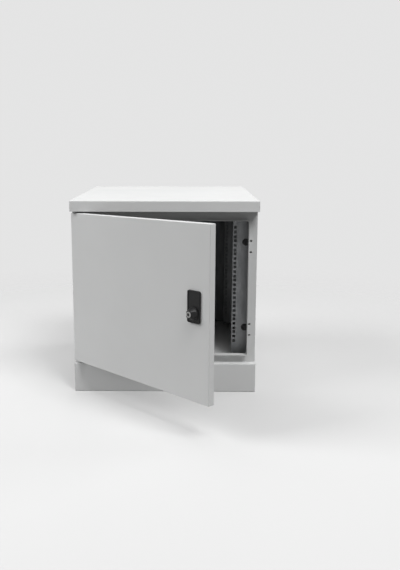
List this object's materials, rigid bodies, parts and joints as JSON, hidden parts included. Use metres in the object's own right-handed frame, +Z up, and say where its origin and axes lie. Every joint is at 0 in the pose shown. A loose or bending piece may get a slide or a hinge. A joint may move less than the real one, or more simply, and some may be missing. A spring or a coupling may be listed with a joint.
{
  "type": "outdoor rack cabinet",
  "caption": "Floor-standing sheet-steel outdoor cabinet on a plinth, with sloped roof cap, side-hinged lockable door and perforated rack rails inside.",
  "frame": {"origin": "on the floor, at the centre of the plinth's four anchor holes", "axes": "+Z up, -Y the door side, +X to the right seen from the front"},
  "size_m": [0.605, 1.0151, 0.6643],
  "materials": {
    "grey_paint": "satin powder coat",
    "plinth_paint": "satin powder coat",
    "lined_sheet": "satin powder coat outside, bare zinc-coated sheet inside",
    "zinc_sheet": "zinc plated",
    "hinge_casting": "cast zinc",
    "plated_steel": "zinc plated",
    "black_plastic": "moulded",
    "bright_metal": "satin nickel",
    "dark_metal": "burnished",
    "black_rubber": "moulded",
    "gasket_foam": "foamed in place"
  },
  "bodies": {
    "cabinet": {"base_plate": "grey_paint", "front_frame": "grey_paint", "roof_cap": "grey_paint", "plinth_left_side": "plinth_paint", "plinth_right_side": "plinth_paint", "plinth_front_cover": "plinth_paint", "plinth_rear_cover": "plinth_paint", "left_side_panel": "lined_sheet", "right_side_panel": "lined_sheet", "rear_panel": "lined_sheet", "top_plate": "lined_sheet", "left_roof_bearer": "zinc_sheet", "right_roof_bearer": "zinc_sheet", "lower_left_depth_bar": "zinc_sheet", "upper_left_depth_bar": "zinc_sheet", "lower_right_depth_bar": "zinc_sheet", "upper_right_depth_bar": "zinc_sheet", "front_left_rail": "zinc_sheet", "front_right_rail": "zinc_sheet", "rear_left_rail": "zinc_sheet", "rear_right_rail": "zinc_sheet", "lower_hinge_frame_leaf": "hinge_casting", "upper_hinge_frame_leaf": "hinge_casting", "plinth_side_bolts": "plated_steel", "plinth_cover_bolts": "plated_steel", "rear_panel_screws": "plated_steel", "frame_nuts": "plated_steel", "roof_bolts": "plated_steel", "depth_bar_nuts": "plated_steel", "rail_bolts": "plated_steel", "hinge_frame_screws": "plated_steel", "rail_grommets": "black_rubber", "cable_membranes": "black_rubber"},
    "door": {"door_panel": "grey_paint", "door_gasket": "gasket_foam", "lower_hinge_door_leaf": "hinge_casting", "upper_hinge_door_leaf": "hinge_casting", "lower_hinge_pin": "plated_steel", "upper_hinge_pin": "plated_steel", "hinge_door_nuts": "plated_steel", "lock_plate": "black_plastic", "lock_nut": "plated_steel"},
    "knob": {"lock_knob": "black_plastic", "lock_cylinder": "bright_metal", "lock_spindle": "plated_steel", "latch_cam": "plated_steel", "cam_screw": "plated_steel"},
    "plug": {"key_plug": "dark_metal"}
  },
  "joints": [
    {"name": "door_swing", "type": "hinge", "parent": "cabinet", "child": "door", "pos_m": [-0.2905, -0.29, 0.346], "axis": [0, 0, -1], "range_deg": [-43.6, 76.4]},
    {"name": "knob_turn", "type": "hinge", "parent": "door", "child": "knob", "pos_m": [0.09076, -0.66688, 0.3525], "axis": [-0.6896, -0.7242, 0], "range_deg": [0, 90]},
    {"name": "key_turn", "type": "hinge", "parent": "knob", "child": "plug", "pos_m": [0.09076, -0.66688, 0.3525], "axis": [-0.6896, -0.7242, 0], "range_deg": [0, 90]}
  ]
}
